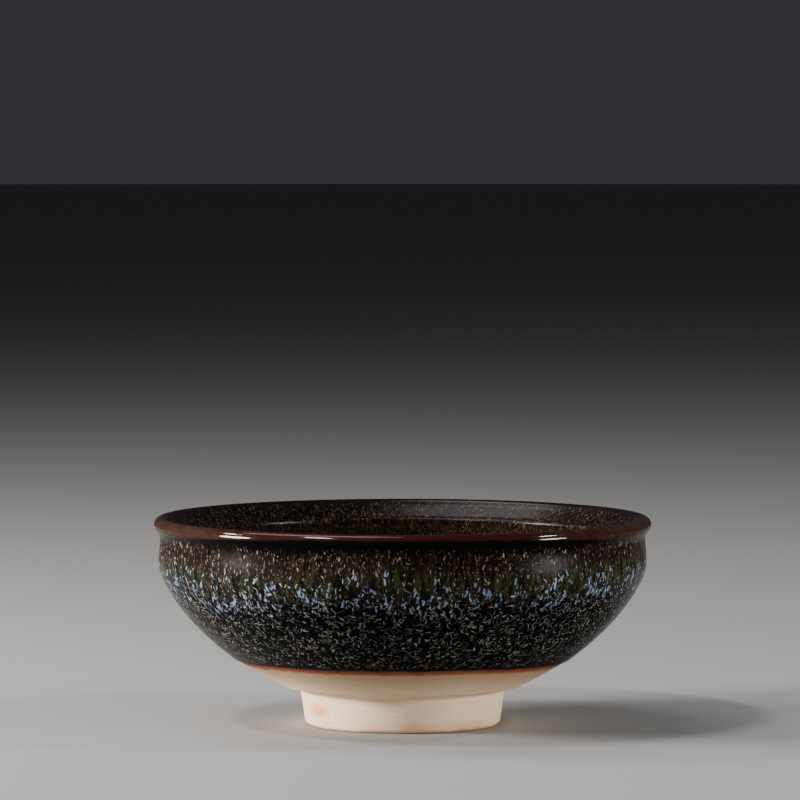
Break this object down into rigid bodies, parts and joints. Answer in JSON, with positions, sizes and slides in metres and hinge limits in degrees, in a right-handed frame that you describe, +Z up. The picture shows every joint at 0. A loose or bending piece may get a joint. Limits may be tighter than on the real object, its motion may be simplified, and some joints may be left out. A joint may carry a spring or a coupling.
{
  "type": "footed ceramic tea cup",
  "caption": "Low bowl-shaped stoneware tea cup with a rolled lip, a groove under it, a speckled dark glaze, a gilt leaf inside and a bare clay foot.",
  "frame": {"origin": "middle of the foot's underside, on the surface the cup stands on", "axes": "+Z up along the axis the cup was turned on; the cup is round, so X and Y are free"},
  "size_m": [0.095, 0.095, 0.0397],
  "materials": {
    "glaze": "glossy black-brown glaze with fine pale crystals",
    "clay": "bare cream stoneware, matt"
  },
  "bodies": {
    "root": {"tea_cup": "glaze"}
  },
  "joints": []
}
